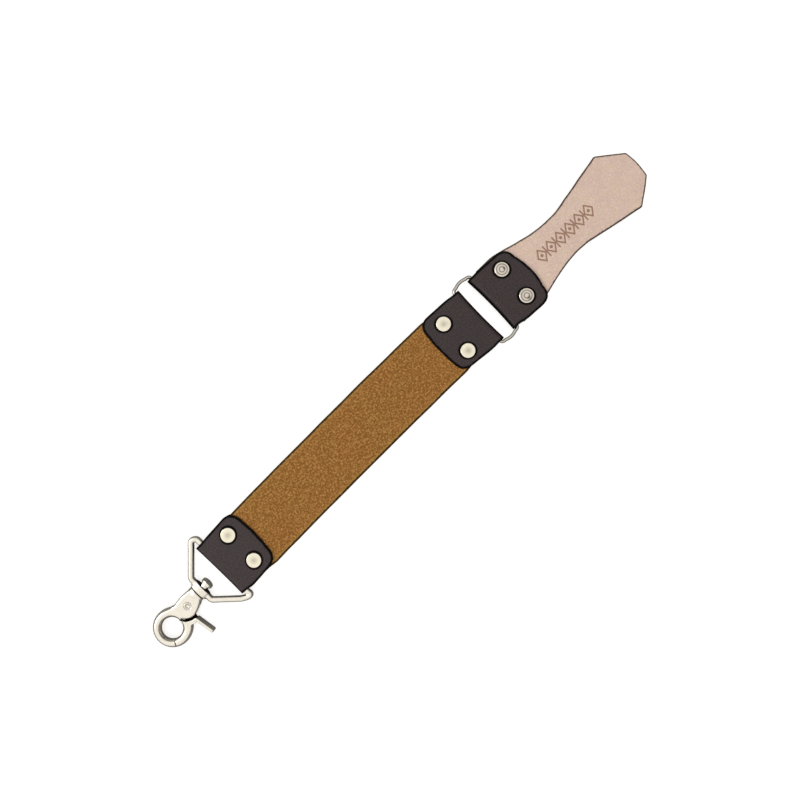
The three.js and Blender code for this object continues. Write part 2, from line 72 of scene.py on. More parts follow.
# corners: how far each far corner of the leaf is cut back, (along, across), first on the +Y side.
# skew: how far the leaf drifts to +Y for each millimetre away from the wire. tilt: how far the fold
# line lies off along the strop, in its middle and from there to its +Y end. taper: how much narrower
# the leaf is at its end, as a share of its width.
TABS = {
    "lower_tab": dict(
        wire_x=BAIL_BAR_X, way=1, length=39.2, width=55.8, corners=((13, 15), (11.5, 12)),
        bow=0.8, skew=0.08, offset=-2.1, waist=0.3, tilt=(-0.8, -0.7), taper=0.0,
    ),
    "middle_tab": dict(
        wire_x=RING_LOW_X, way=-1, length=42.3, width=56.6, corners=((12, 15), (10.5, 13)),
        bow=0.8, skew=0.068, offset=-0.3, waist=0.8, tilt=(0.2, 0), taper=0.04,
    ),
    "handle_tab": dict(
        wire_x=RING_HIGH_X, way=1, length=40.2, width=57.2, corners=((12, 11), (13, 12)),
        bow=2.6, skew=-0.055, offset=-0.65, waist=1.0, tilt=(0, 0), taper=0.0,
    ),
}

# At its fold a tab is narrower and nearer the middle, by these shares, to clear the bends of its wire.
FOLD_NARROWS, FOLD_CENTRES, FOLD_EASE = 0.035, 0.4, 6

RIVET_HALF_SPACING = 14.85
RIVET_PAIRS = ((-176.1, 0, -0.45), (71.7, 0.6, 0.4), (137.7, -0.7, 0.2))  # x, y and lean along x
CAP_RADIUS = 6.2
RIVET_HOLE = 2.25
POST_RADIUS = 1.5
NECK = (1.6, 2.1, 5)  # inner radius, outer radius and depth of the cap's hollow neck

HANDLE_THICK, HANDLE_Y = 5.4, -0.9
TANG_X, SHOULDER_X, TANG_HALF = 122, 136, 28.8
WAIST_X, WAIST_HALF = 195.3, 18.1
FLARE_X, FLARE_HALF = 222, 21.9
WIDE_X, WIDE_HALF = 258.3, 28.8
TIP_X, TIP_HALF, END_X = 279.2, 12.9, 280.3

RING_WIRE = 1.45
RING_STRAIGHT, RING_CORNER, RING_CORNER_Y, RING_PEAK_Y = 26.5, 4.2, 29.8, 30.9

BAIL_WIRE = 2.65
BAIL_FRONT_X, BAIL_KNEE_Y, BAIL_PEAK_Y = -224.9, 12.2, 37.6
SWIVEL_Y = -1.5
BAIL_KNEE_R, BAIL_BEND_R = 4, 3.4
COLLAR_X, COLLAR_HALF, COLLAR_BORE = (-228.6, -222.2), (8.6, 4.8), 3.05

STUD_RADIUS, STUD_HEAD_RADIUS, STUD_INNER_X = 2.9, 5.1, -233.4
STUD_HEAD_X = (-219.3, -216.4)
STUD_BOSS = 4

HOOK_THICK, HOOK_ROUND = 8, 2.4
RING_CENTRE, HOOK_OUTER = (-263.7, -6.3), 16.6
EYE_CENTRE, EYE_RADIUS = (-264.5, -6.3), 9.1
SPLIT_DEGREES, GATE_GAP_DEGREES = 237, 2.2
CHEEK_CENTRE, CHEEK_RADIUS = (-243.2, -0.9), 11
HOOK_NECK, NECK_LEAD, NECK_LEAVES_RING = (-249.2, 3.5), (4.3, 0.7), 62
BACK_HIGH, BODY_END_Y, BELLY = 5.6, (-5.2, 4.4), (-238, -8.3)
FLANGE_X, FLANGE_HALF, STUD_BORE = (-233.6, -229.2), (7.2, 4.6), 3

PIVOT = (-241.7, -2.2)
PIN_RADIUS, PIN_BORE, PIN_HEAD_RADIUS, PIN_HEAD_SEAT = 1.6, 1.7, 3.1, 0.7
SLOT_HALF, HUB_RADIUS, HUB_Z = 2.4, 4.8, (-2.15, 0)
GATE_ROUND, GATE_THICK = 2.2, 7.4
YOKE_INNER, YOKE_OUTER, YOKE_THICK = 12.8, 16.4, 6.6
LEVER_ROOT, LEVER_TIP, LEVER_THICK, LEVER_WIDE = (-244.2, -14.4), (-241.2, -32.3), 2.5, 9
SPRING_RADIUS, SPRING_WIRE, SPRING_START, SPRING_SWEEP = 2.5, 0.27, 235, 980
SPRING_LOW_Z, SPRING_RISE, SPRING_YOKE_LEG, SPRING_SPINE_LEG = 0.4, 1.7, 8, 1.6

# Looks only
STRAP_BOW = 0.9  # the strap curves this far to +Y in its middle
STRAP_PINCH = 0.035  # and its ends are narrower under the tabs, by this share
BAIL_ASKEW = (3.0, -0.6)  # how far the bail's -Y and +Y bends lie off along the strop
BAIL_STRAIGHT = 30.6  # the bail isn't askew nearer to the middle line than this
RING_BEGINS_X, RING_ROUNDNESS = -251, 0.75  # where the hook turns into its ring, and how round that is
CAST_VOXEL = 0.28  # size of the cells in which a casting's parts are melted together
CAST_SOFTENING = 3  # smoothing rounds, which leave the small fillets of a casting
TOOLING_X = (165, 229)  # the tooled ornament on the handle
TOOLING_COUNT = 6
TOOLING_HALF = (4.3, 5.8)
TOOLING_STROKE = 0.85
TOOLING_DEPTH = 0.4


# ---- Flat curves ----


def clamped(value):
    return max(0.0, min(1.0, value))


def bell(distance, width):
    """1 where distance is 0, falling smoothly to nothing over about twice the width."""
    return math.exp(-((distance / width) ** 2))


def curve(*controls, steps=10):
    """Points of a quadratic or cubic curve, without its last one."""
    degree = len(controls) - 1
    points = []
    for step in range(steps):
        t = step / steps
        weights = [math.comb(degree, k) * t**k * (1 - t) ** (degree - k) for k in range(degree + 1)]
        points.append(tuple(sum(w * c[axis] for w, c in zip(weights, controls)) for axis in (0, 1)))
    return points


def arc(centre, radius, start, end, steps=24):
    """Points of an arc between two angles in degrees, both ends included."""
    angles = [math.radians(start + (end - start) * step / steps) for step in range(steps + 1)]
    return [(centre[0] + radius * math.cos(a), centre[1] + radius * math.sin(a)) for a in angles]


def circle(centre, radius, steps=24):
    return arc(centre, radius, 0, 360, steps)[:-1]


def sector(centre, inner, outer, start, end):
    return arc(centre, outer, start, end) + arc(centre, inner, end, start)


def spaced(outline, step):
    """The same closed outline with a point at least every step along it."""
    points = []
    for (x, y), (next_x, next_y) in zip(outline, outline[1:] + outline[:1]):
        parts = max(1, round(math.hypot(next_x - x, next_y - y) / step))
        points += [(x + (next_x - x) * k / parts, y + (next_y - y) * k / parts) for k in range(parts)]
    return points


def distances(points, outline):
    """How far each point lies from an outline."""
    points = np.array(points)
    nearest = np.full(len(points), np.inf)
    for start, end in zip(outline, outline[1:] + outline[:1]):
        a, edge = np.array(start), np.subtract(end, start)
        share = np.clip((points - a) @ edge / max(edge @ edge, 1e-12), 0, 1)
        gap = points - a - share[:, None] * edge
        nearest = np.minimum(nearest, np.hypot(gap[:, 0], gap[:, 1]))
    return nearest


def inset(outline, distance):
    """Moves an outline that runs anticlockwise inwards by a distance, or outwards if it is negative."""
    if abs(distance) < 1e-6:
        return list(outline)
    moved = []
    for index, (x, y) in enumerate(outline):
        before = Vector(outline[index - 1])
        after = Vector(outline[(index + 1) % len(outline)])
        here = Vector((x, y))
        coming, going = (here - before).normalized(), (after - here).normalized()
        inward = Vector((-coming.y - going.y, coming.x + going.x)).normalized()
        mitre = min(2.5, 1 / max(0.3, inward.dot(Vector((-coming.y, coming.x)))))
        moved.append(tuple(here + inward * distance * mitre))
    # Beside a corner some points overshoot: they go on the line between their sound neighbours.
    sound = np.flatnonzero(distances(moved, outline) > abs(distance) * 0.985)
    for first, last in zip(sound, np.append(sound[1:], sound[0] + len(moved))):
        start, end = moved[first], moved[last % len(moved)]
        for index in range(first + 1, last):
            share = (index - first) / (last - first)
            place = tuple(a + (b - a) * share for a, b in zip(start, end))
            moved[index % len(moved)] = place
    return moved


def hand_cut(outline, amount, size, seed):
    """Lets an outline wander by up to amount, in waves of about size."""
    moved = []
    for x, y in outline:
        place = Vector((x / size, y / size, seed))
        moved.append((x + amount * noise.noise(place), y + amount * noise.noise(place + Vector((9, 9, 9)))))
    return moved


def inside(points, outline):
    """Which of an array of points lie inside an outline."""
    result = np.zeros(len(points), bool)
    x, y = points[:, 0], points[:, 1]
    for (ax, ay), (bx, by) in zip(outline, outline[1:] + outline[:1]):
        if ay != by:
            crosses = (ay > y) != (by > y)
            result ^= crosses & (x < (bx - ax) * (y - ay) / (by - ay) + ax)
    return result


# ---- Meshes ----


class Shape:
    """Points and faces in millimetres. depth is how far a point lies in from the piece's edge."""

    def __init__(self):
        self.points = []
        self.faces = []
        self.depth = []

    def add_ring(self, ring, depth=0.0):
        start = len(self.points)
        self.points += [tuple(point) for point in ring]
        self.depth += [depth] * (len(self.points) - start)
        return list(range(start, len(self.points)))

    def join(self, lower, upper):
        """Faces between two closed rings; a ring of one point closes to a tip."""
        for k in range(max(len(lower), len(upper))):
            corners = (
                lower[k % len(lower)],
                lower[(k + 1) % len(lower)],
                upper[(k + 1) % len(upper)],
                upper[k % len(upper)],
            )
            self.faces.append(tuple(dict.fromkeys(corners)))

    def moved(self, change):
        self.points = [change(*point) for point in self.points]
        return self


def grid_points(outline, spacing, fine):
    """A grid of points inside an outline, closer together in the fine box (x0, x1, y0, y1, spacing)."""
    xs, ys = zip(*outline)

    def lattice(x0, x1, y0, y1, step):
        across, along = np.meshgrid(np.arange(y0, y1, step), np.arange(x0, x1, step))
        return np.column_stack([along.ravel(), across.ravel()])

    points = lattice(min(xs) + 0.01, max(xs), min(ys) + 0.01, max(ys), spacing)
    if fine:
        x0, x1, y0, y1, step = fine
        x, y = points[:, 0], points[:, 1]
        points = points[(x < x0) | (x > x1) | (y < y0) | (y > y1)]
        points = np.vstack([points, lattice(x0, x1, y0, y1, step)])
    return points


def plate(outline, thick, rounding, spacing=1.0, holes=(), fine=None, steps=5):
    """A flat piece with rounded edges about z = 0. The outline runs anticlockwise."""
    shape = Shape()
    outline = spaced(outline, spacing)
    quarter = [math.pi / 2 * step / steps for step in range(steps + 1)]
    flank = thick / 2 - rounding
    top_half = [(rounding * (1 - math.cos(a)), flank + rounding * math.sin(a)) for a in quarter]
    bottom_half = [(back, -height) for back, height in reversed(top_half)]
    rings = []
    for back, height in bottom_half + top_half:
        ring = [(x, y, height) for x, y in inset(outline, back)]
        rings.append(shape.add_ring(ring, back))
    for lower, upper in zip(rings, rings[1:]):
        shape.join(lower, upper)

    # One triangulation of the flat face serves the top and, mirrored, the bottom.
    rim = inset(outline, rounding)
    hole_loops = [circle((x, y), radius) for x, y, radius in holes]
    loops = [rim] + hole_loops
    tree = kdtree.KDTree(sum(len(loop) for loop in loops))
    for index, (x, y) in enumerate(point for loop in loops for point in loop):
        tree.insert((x, y, 0), index)
    tree.balance()
    lattice = grid_points(rim, spacing, fine)
    lattice = lattice[inside(lattice, rim)]
    for loop in hole_loops:
        lattice = lattice[~inside(lattice, loop)]
    clear = 0.45 * (fine[4] if fine else spacing)
    away = [tree.find((x, y, 0))[2] for x, y in lattice]
    kept = [(tuple(point), gap) for point, gap in zip(lattice, away) if gap > clear]

    flat = [point for loop in loops for point in loop] + [point for point, _ in kept]
    edges, start = [], 0
    for loop in loops:
        edges += [(start + k, start + (k + 1) % len(loop)) for k in range(len(loop))]
        start += len(loop)
    found = geometry.delaunay_2d_cdt([Vector(p) for p in flat], edges, [], 1, 1e-5)
    source = []
    for place, origins in zip(found[0], found[3]):
        if not origins:  # two edges of the rim cross here
            flat.append(tuple(place))
            kept.append((tuple(place), clear))
        source.append(origins[0] if origins else len(flat) - 1)
    triangles = [[source[corner] for corner in triangle] for triangle in found[2]]
    middles = np.array([np.mean([flat[c] for c in t], axis=0) for t in triangles])
    solid = np.ones(len(triangles), bool)
    for loop in hole_loops:
        solid &= ~inside(middles, loop)
    triangles = [triangle for triangle, keep in zip(triangles, solid) if keep]

    gaps = [2.0] * (len(flat) - len(rim) - len(kept)) + [gap for _, gap in kept]
    faces_of = {}
    for side, rim_ring in ((1, rings[-1]), (-1, rings[0])):
        start = len(shape.points)
        shape.points += [(x, y, side * thick / 2) for x, y in flat[len(rim):]]
        shape.depth += [rounding + gap for gap in gaps]
        index = rim_ring + list(range(start, len(shape.points)))
        faces_of[side] = index
        for triangle in triangles:
            corners = triangle if side > 0 else triangle[::-1]
            shape.faces.append(tuple(index[corner] for corner in corners))
    start = len(rim)
    for loop in hole_loops:
        span = range(start, start + len(loop))
        shape.join([faces_of[1][k] for k in span], [faces_of[-1][k] for k in span])
        start += len(loop)
    return shape


def turned(profile, sides=96):
    """A profile of (radius, height) turned about Z, from the top of the axis round to its foot."""
    shape = Shape()
    rings = []
    for radius, height in reversed(profile):
        if radius < 1e-6:
            rings.append(shape.add_ring([(0, 0, height)]))
        else:
            rings.append(shape.add_ring([(x, y, height) for x, y in circle((0, 0), radius, sides)]))
    for lower, upper in zip(rings, rings[1:]):
        shape.join(lower, upper)
    return shape


def tube(path, radius, sides=24, closed=True):
    """Round wire along a path of (x, y, z) points that never runs straight up."""
    shape = Shape()
    rings = []
    path = [Vector(point) for point in path]
    for index, place in enumerate(path):
        before = path[index - 1] if closed or index else place
        after = path[(index + 1) % len(path)] if closed or index < len(path) - 1 else place
        along = (after - before).normalized()
        side = along.cross(Vector((0, 0, 1))).normalized()
        rise = side.cross(along)
        section = circle((0, 0), radius, sides)
        rings.append(shape.add_ring([place + side * x + rise * y for x, y in section]))
    for lower, upper in zip(rings, rings[1:]):
        shape.join(lower, upper)
    if closed:
        shape.join(rings[-1], rings[0])
    else:
        shape.faces += [tuple(reversed(rings[0])), tuple(rings[-1])]
    return shape


def cylinder(centre, radius, low, high, sides=48):
    """A round bar along Z."""
    return prism(circle(centre, radius, sides), low, high)


def prism(outline, low, high):
    shape = Shape()
    lower = shape.add_ring([(x, y, low) for x, y in outline])
    upper = shape.add_ring([(x, y, high) for x, y in outline])
    shape.join(lower, upper)
    shape.faces += [tuple(reversed(lower)), tuple(upper)]
    return shape


def along_x(shape, y=0.0):
    """Turns a shape that was drawn about Z so that its axis lies along +X."""
    return shape.moved(lambda px, py, pz: (pz, px + y, py))


def linked(name, data):
    """A new object in the scene, for a mesh, a light or a camera."""
    obj = bpy.data.objects.new(name, data)
    bpy.context.scene.collection.objects.link(obj)
    return obj


def store(mesh, attribute, values):
    """Keeps one number for each point of a mesh, which the materials read."""
    layer = mesh.attributes.new(attribute, "FLOAT", "POINT")
    layer.data.foreach_set("value", np.array(values, np.float32))


def mesh_object(name, shape, **stored):
    """The one place where millimetres about the middle plane become metres above the floor."""
    mesh = bpy.data.meshes.new(name)
    mesh.from_pydata([(x * MM, y * MM, (z + MID_Z) * MM) for x, y, z in shape.points], [], shape.faces)
    for attribute, values in stored.items():
        store(mesh, attribute, values)
    clean = bmesh.new()
    clean.from_mesh(mesh)
    bmesh.ops.remove_doubles(clean, verts=clean.verts, dist=0.002 * MM)
    bmesh.ops.recalc_face_normals(clean, faces=clean.faces)
    clean.to_mesh(mesh)
    clean.free()
    return linked(name, mesh)


def finished(obj, node, material, crease=50):
    """Gives a piece its surface and its body, and hides the CAD part of the node that it stands for."""
    body = next(name for name, nodes in BODIES.items() if node in nodes)
    obj.data.materials.clear()
    obj.data.materials.append(material)
    obj.data.polygons.foreach_set("use_smooth", [True] * len(obj.data.polygons))
    obj.data.set_sharp_from_angle(angle=math.radians(crease))
    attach(obj, body)
    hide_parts(node)
    return obj


def applied(obj):
    """Makes an object's modifiers part of its mesh."""
    graph = bpy.context.evaluated_depsgraph_get()
    mesh = bpy.data.meshes.new_from_object(obj.evaluated_get(graph))
    obj.modifiers.clear()
    obj.data = mesh
    return obj


def melted(obj):
    """Rebuilds a solid from small cells, which leaves one clean closed skin."""
    melt = obj.modifiers.new("melt", "REMESH")
    melt.mode = "VOXEL"
    melt.voxel_size = CAST_VOXEL * MM
    return applied(obj)


def combined(obj, operation, shape):
    """Adds a shape to an object or cuts it away."""
    other = mesh_object("tool", shape)
    if operation == "UNION":
        melted(other)
    step = obj.modifiers.new("step", "BOOLEAN")
    step.operation = operation
    step.solver = "MANIFOLD"
    step.object = other
    applied(obj)
    bpy.data.objects.remove(other)
    return obj


def casting(node, first, added=(), cut=(), added_last=(), cut_last=(), across=0.0, reshape=None, painted_black_shade=None):
    """One cast piece: parts joined, others cut away, and all their corners melted soft.

    It is drawn about the middle line and then moved across the strop.
    reshape(x, y, z) gives a point's new height, and the last argument, a function of the same point, says
    where the metal is painted black as painted shade.
    """
    obj = melted(mesh_object(node + "_casting", first))
    for operation, shapes in (
        ("UNION", added), ("DIFFERENCE", cut), ("UNION", added_last), ("DIFFERENCE", cut_last)
    ):
        for shape in shapes:
            combined(obj, operation, shape)
    melted(obj)
    soften = obj.modifiers.new("soften", "SMOOTH")
    soften.factor = 0.5
    soften.iterations = CAST_SOFTENING
    applied(obj)
    if reshape:
        for vertex in obj.data.vertices:
            x, y, z = vertex.co / MM
            vertex.co.z = (reshape(x, y, z - MID_Z) + MID_Z) * MM
    if painted_black_shade:
        places = [vertex.co / MM for vertex in obj.data.vertices]
        store(obj.data, "painted_black_shade", [painted_black_shade(x, y, z - MID_Z) for x, y, z in places])
    return finished(shifted(obj, across), node, NICKEL, crease=180)


def shifted(obj, y):
    """Moves a mesh across the strop, as for the pieces drawn about the swivel's axis."""
    obj.data.transform(Matrix.Translation((0, y * MM, 0)))
    return obj


BODIES = frame["record"]["behaviour"]["bodies"]


# ---- Materials ----


def rgb(red, green, blue):
    """A colour from 0..255 display values."""
    return tuple((value / 255) ** 2.2 for value in (red, green, blue)) + (1.0,)


class Nodes:
    """The nodes of a material or a world. Each method adds some and returns an output to use."""

    def __init__(self, owner):
        owner.use_nodes = True
        self.tree = owner.node_tree
        self.places = self.tree.nodes.new("ShaderNodeTexCoord").outputs

    def node(self, kind, values, **settings):
        made = self.tree.nodes.new("ShaderNode" + kind)
        for setting, value in settings.items():
            setattr(made, setting, value)
        for socket, value in values.items():
            if isinstance(value, bpy.types.NodeSocket):
                self.tree.links.new(value, made.inputs[socket])
            else:
                made.inputs[socket].default_value = value
        return made

    def ramp(self, value, low, high, to_low=0.0, to_high=1.0):
        """Runs smoothly from to_low to to_high as value goes from low to high."""
        values = {0: value, 1: low, 2: high, 3: to_low, 4: to_high}
        return self.node("MapRange", values, interpolation_type="SMOOTHSTEP").outputs[0]

    def maths(self, operation, first, second):
        return self.node("Math", {0: first, 1: second}, operation=operation).outputs[0]

    def blended(self, share, first, second):
        values = {"Factor": share, 6: first, 7: second}
        return self.node("Mix", values, data_type="RGBA").outputs[2]

    def tinted(self, colour, tint, *ramp):
        """Lays a tint over a colour, by a ramp's share."""
        return self.blended(self.ramp(*ramp), colour, tint)


class Surface(Nodes):
    """A material with textures measured in millimetres on the piece."""

    def __init__(self, name, **fixed):
        self.material = bpy.data.materials.new(name)
        super().__init__(self.material)
        self.place = self.places["Object"]
        self.shader = self.tree.nodes["Principled BSDF"]
        for socket, value in fixed.items():
            self.shader.inputs[socket.replace("_", " ")].default_value = value

    def noise(self, size_mm, detail=3.0, roughness=0.6, stretch=None):
        """Soft noise from 0 to 1 whose lumps are about size_mm across."""
        place = self.place
        if stretch:
            place = self.node("Mapping", {"Vector": place, "Scale": stretch}).outputs[0]
        values = {"Vector": place, "Scale": 1 / (size_mm * MM), "Detail": detail, "Roughness": roughness}
        return self.node("TexNoise", values).outputs["Fac"]

    def cells(self, size_mm, feature="F1"):
        values = {"Vector": self.place, "Scale": 1 / (size_mm * MM)}
        return self.node("TexVoronoi", values, feature=feature).outputs["Distance"]

    def stored(self, attribute):
        return self.node("Attribute", {}, attribute_name=attribute).outputs["Fac"]

    def from_edge(self, size_mm, ragged):
        """How far in from the piece's edge a point lies, in millimetres, with a ragged border."""
        wander = self.ramp(self.noise(size_mm), 0.3, 0.7, -ragged, ragged)
        return self.maths("ADD", self.stored("edge_depth"), wander)

    def set(self, socket, output):
        self.tree.links.new(output, self.shader.inputs[socket])

    def bump(self, *layers):
        """Bumps from (height output, depth in millimetres) pairs."""
        normal = None
        for height, depth in layers:
            values = {"Height": height, "Distance": depth * MM, "Strength": 1.0}
            if normal is not None:
                values["Normal"] = normal
            normal = self.node("Bump", values).outputs[0]
        self.set("Normal", normal)


def suede():
    s = Surface("suede", Roughness=0.95, Specular_IOR_Level=0.15, Sheen_Weight=0.25, Sheen_Roughness=0.6)
    s.shader.inputs["Sheen Tint"].default_value = rgb(214, 170, 110)
    clouds = s.noise(22, 2)
    mottle = s.noise(1.5, 3, 0.6)
    nap = s.noise(0.35, 4, 0.7)
    colour = s.blended(s.ramp(clouds, 0.35, 0.65), rgb(147, 105, 54), rgb(150, 103, 55))
    colour = s.tinted(colour, rgb(114, 72, 28), mottle, 0.4, 0.56, 0.75, 0.0)
    colour = s.tinted(colour, rgb(194, 148, 90), mottle, 0.5, 0.68, 0.0, 0.6)
    colour = s.tinted(colour, rgb(96, 60, 24), nap, 0.3, 0.7, 0.3, 0.0)
    # A dark border along the cut edge, partly the edge's own colour and partly painted shade, and a lighter
    # band further in.
    depth = s.from_edge(3, 0.25)
    colour = s.tinted(colour, rgb(166, 132, 70), depth, 2.2, 4.4, 0.35, 0.0)
    colour = s.tinted(colour, rgb(50, 32, 6), depth, 1.2, 2.4, 1.0, 0.0)
    s.set("Base Color", colour)
    s.bump((mottle, 0.25), (nap, 0.12))
    return s.material


def smooth_leather():
    s = Surface("smooth_leather", Roughness=0.55, Specular_IOR_Level=0.35)
    clouds = s.noise(30, 3)
    pores = s.cells(0.9)
    colour = s.blended(s.ramp(clouds, 0.3, 0.7), rgb(112, 70, 38), rgb(142, 94, 54))
    colour = s.tinted(colour, rgb(78, 46, 22), pores, 0.0, 0.35, 0.5, 0.0)
    strokes = s.noise(2.2, 3, 0.6, stretch=(0.12, 1, 1))
    colour = s.tinted(colour, rgb(170, 124, 78), strokes, 0.55, 0.75, 0.0, 0.35)
    depth = s.stored("edge_depth")
    colour = s.tinted(colour, rgb(52, 32, 14), depth, 0.4, 1.5, 1.0, 0.0)
    s.set("Base Color", colour)
    s.set("Roughness", s.ramp(strokes, 0.3, 0.7, 0.42, 0.62))
    s.bump((s.ramp(pores, 0.0, 0.4), 0.05), (strokes, 0.05))
    return s.material


def dark_leather():
    s = Surface("dark_leather", Roughness=0.6, Specular_IOR_Level=0.3)
    clouds = s.noise(14, 3)
    grain = s.cells(0.8, "SMOOTH_F1")
    fine = s.noise(0.45, 4, 0.65)
    colour = s.blended(s.ramp(clouds, 0.3, 0.7), rgb(52, 43, 44), rgb(59, 48, 48))
    colour = s.tinted(colour, rgb(38, 32, 32), grain, 0.1, 0.6, 0.45, 0.0)
    colour = s.tinted(colour, rgb(82, 70, 68), fine, 0.55, 0.8, 0.0, 0.35)
    depth = s.from_edge(4, 0.2)
    mottle = s.noise(1.3, 3, 0.7)
    colour = s.tinted(colour, rgb(38, 31, 33), mottle, 0.38, 0.52, 0.6, 0.0)
    colour = s.tinted(colour, rgb(80, 66, 66), mottle, 0.52, 0.68, 0.0, 0.5)
    # The cut edges are dyed near black; round each rivet cap and across the nose of each fold the same near
    # black is painted shade, and the gloss drops with it.
    edge = s.ramp(depth, 1.3, 2.7, 1.0, 0.0)
    painted_rivet_shade = s.ramp(s.stored("pressed"), 0.1, 0.55)
    fold = s.ramp(s.stored("fold"), 0.4, 0.8)
    edge_dye_and_painted_shade = s.maths("MAXIMUM", edge, s.maths("MAXIMUM", painted_rivet_shade, fold))
    s.set("Base Color", s.blended(s.maths("MULTIPLY", edge_dye_and_painted_shade, 0.97), colour, rgb(6, 4, 4)))
    s.set("Specular IOR Level", s.ramp(edge_dye_and_painted_shade, 0.0, 1.0, 0.3, 0.06))
    s.set("Roughness", s.ramp(clouds, 0.3, 0.7, 0.5, 0.66))
    s.bump((s.ramp(grain, 0.0, 0.6), 0.08), (fine, 0.05))
    return s.material


def pale_leather():
    s = Surface("pale_leather", Roughness=0.62, Specular_IOR_Level=0.3)
    clouds = s.noise(16, 3)
    blotch = s.noise(5, 3)
    fibre = s.noise(0.5, 4, 0.65)
    pores = s.cells(0.7)
    colour = s.blended(s.ramp(clouds, 0.3, 0.7), rgb(209, 185, 169), rgb(202, 175, 165))
    colour = s.tinted(colour, rgb(204, 184, 158), blotch, 0.42, 0.62, 0.0, 0.5)
    colour = s.tinted(colour, rgb(176, 146, 130), fibre, 0.35, 0.58, 0.4, 0.0)
    colour = s.tinted(colour, rgb(170, 134, 116), pores, 0.0, 0.25, 0.25, 0.0)
    mottle = s.noise(1.4, 3, 0.7)
    colour = s.tinted(colour, rgb(184, 156, 144), mottle, 0.36, 0.52, 0.45, 0.0)
    colour = s.tinted(colour, rgb(228, 206, 192), mottle, 0.52, 0.68, 0.0, 0.45)
    depth = s.from_edge(2, 0.2)
    colour = s.tinted(colour, rgb(60, 46, 38), depth, 0.8, 1.9, 0.97, 0.0)
    colour = s.tinted(colour, rgb(136, 100, 82), s.stored("tooling"), 0.1, 0.8, 0.0, 0.9)
    s.set("Base Color", colour)
    s.bump((s.ramp(pores, 0.0, 0.3), 0.03), (fibre, 0.05))
    return s.material


def nickel(name, colour, roughness, painted_crevice_shade):
    s = Surface(name, Metallic=1.0)
    shade = s.noise(6, 3)
    skin = s.noise(0.9, 3)
    scratches = s.noise(0.5, 2, 0.5, stretch=(0.15, 1, 1))
    base = s.tinted(colour, rgb(206, 198, 182), shade, 0.35, 0.7, 0.0, 0.35)
    # Painted shade: the metal turns near black in crevices and tight gaps, where the AO finds nearby
    # surfaces.
    crevice = s.node("AmbientOcclusion", {"Distance": 2.5 * MM}).outputs["AO"]
    base = s.tinted(base, rgb(26, 23, 20), crevice, 0.15, 0.75, painted_crevice_shade, 0.0)
    base = s.blended(s.stored("tarnish"), base, rgb(84, 76, 68))
    # Painted shade: the metal is near black where the casting marked a shaded recess.
    base = s.blended(s.stored("painted_black_shade"), base, rgb(14, 12, 10))
    s.set("Base Color", base)
    s.set("Roughness", s.ramp(shade, 0.3, 0.7, roughness, roughness + 0.12))
    s.bump((skin, 0.03), (scratches, 0.008))
    return s.material


def spring_steel():
    s = Surface("spring_steel", Metallic=1.0)
    shade = s.noise(0.8, 3)
    s.set("Base Color", s.blended(s.ramp(shade, 0.3, 0.7), rgb(120, 118, 114), rgb(160, 158, 152)))
    s.set("Roughness", s.ramp(shade, 0.3, 0.7, 0.25, 0.45))
    return s.material


SUEDE = suede()
SMOOTH_LEATHER = smooth_leather()
DARK_LEATHER = dark_leather()
PALE_LEATHER = pale_leather()
NICKEL = nickel("nickel", rgb(228, 222, 210), 0.2, 0.95)
CAP_NICKEL = nickel("cap_nickel", rgb(232, 224, 203), 0.24, 0.6)
GREY_NICKEL = nickel("grey_nickel", rgb(226, 217, 204), 0.18, 0.85)
# The ring's wire has a darker copy of the nickel: painted shade, standing for the dark reflections along
# the thin wire.
SHADED_WIRE_NICKEL = nickel("shaded_wire_nickel", rgb(176, 171, 163), 0.2, 0.95)
SPRING_STEEL = spring_steel()


# ---- Leather ----

RIVETS = [
    (x + side * lean, y + side * RIVET_HALF_SPACING) for x, y, lean in RIVET_PAIRS for side in (1, -1)
]


def holes_within(low_x, high_x):
    return [(x, y, RIVET_HOLE) for x, y in RIVETS if low_x < x < high_x]


def unevenness(x, y, size, seed):
    return noise.noise(Vector((x / size, y / size, seed)))


def strap_layer(node, side, material, seed):
    """One layer of the strap; the free face between the tabs is slightly uneven."""
    half = STRAP_WIDTH / 2
    (start_x, end_x), (start_y, end_y) = STRAP_X, STRAP_Y
    outline = [
        (start_x, start_y - half), (end_x, end_y - half), (end_x, end_y + half), (start_x, start_y + half)
    ]
    outline = hand_cut(spaced(outline, 1.2), 0.25, 18, seed)
    shape = plate(outline, LAYER_THICK, 0.9, 1.2, holes_within(*STRAP_X), steps=4)
    middle = side * (LAYER_GAP + LAYER_THICK) / 2
    free_low = TABS["lower_tab"]["wire_x"] + TABS["lower_tab"]["length"]
    free_high = TABS["middle_tab"]["wire_x"] - TABS["middle_tab"]["length"]

    def worn(x, y, z):
        into_free = clamped(min((x - free_low) / 12, (free_high - x) / 12))
        outer = z * side > 0
        wave = unevenness(x, y, 30, seed) * 0.14 + unevenness(x, y, 7, seed) * 0.05
        share = 2 * (x - start_x) / (end_x - start_x) - 1
        under_tab = clamped(max((free_low - 4 - x) / 8, (x - free_high - 4) / 8))
        y *= 1 - STRAP_PINCH * under_tab
        y += STRAP_BOW * max(0.0, 1 - (share / 0.8) ** 2)
        return x, y, z + middle + side * outer * into_free * wave

    obj = mesh_object(node + "_leather", shape.moved(worn), edge_depth=shape.depth)
    return finished(obj, node, material)


strap_layer("strap_front", 1, SUEDE, 1.5)
strap_layer("strap_back", -1, SMOOTH_LEATHER, 7.5)


